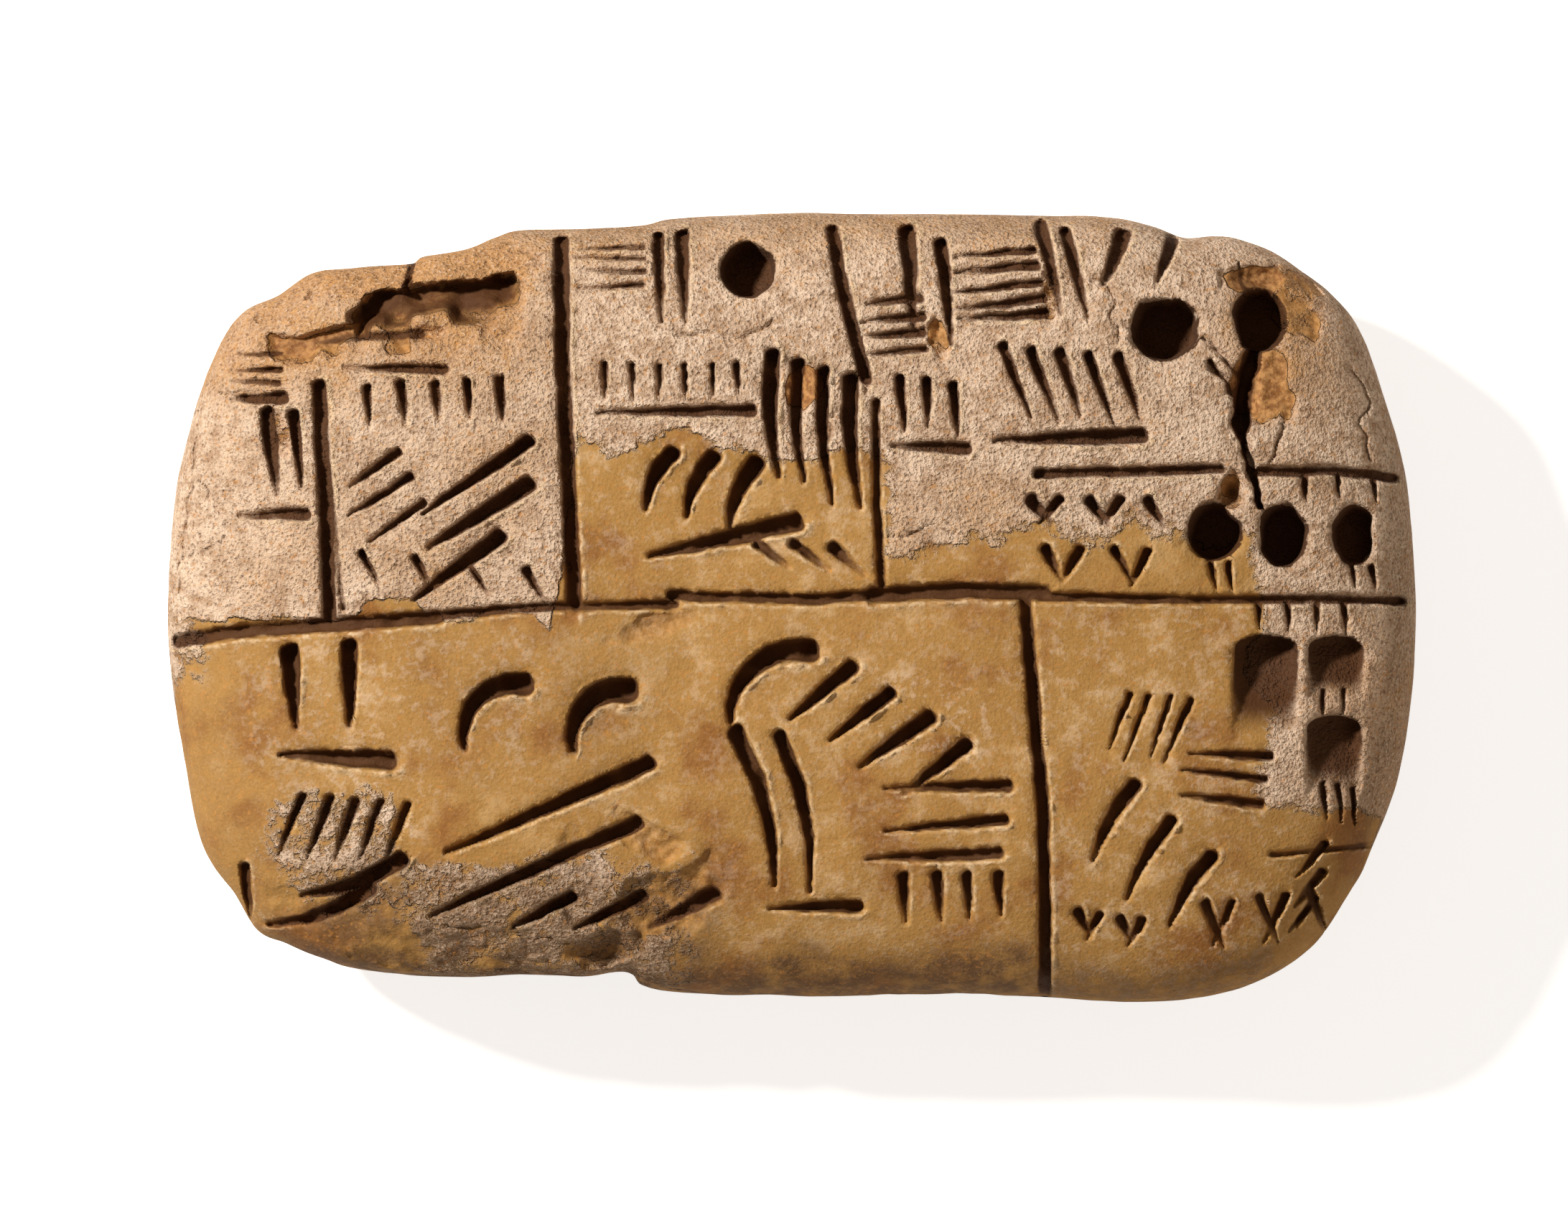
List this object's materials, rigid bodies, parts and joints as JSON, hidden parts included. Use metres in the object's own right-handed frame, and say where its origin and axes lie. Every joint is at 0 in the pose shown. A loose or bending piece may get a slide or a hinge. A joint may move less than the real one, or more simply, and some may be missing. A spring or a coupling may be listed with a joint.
{
  "type": "cuneiform tablet",
  "caption": "Cushion-shaped clay tablet, ruled into cases and pressed with round marks and rows of plain strokes, with a chipped rim and a cracked corner.",
  "frame": {"origin": "on the surface that the tablet lies on, under the middle of its outline", "axes": "+Z out of the inscribed face, +X along the tablet's length, +Y towards its upper edge"},
  "size_m": [0.0762, 0.0482, 0.02],
  "materials": {
    "clay": "matte"
  },
  "bodies": {
    "root": {"tablet": "clay"}
  },
  "joints": []
}
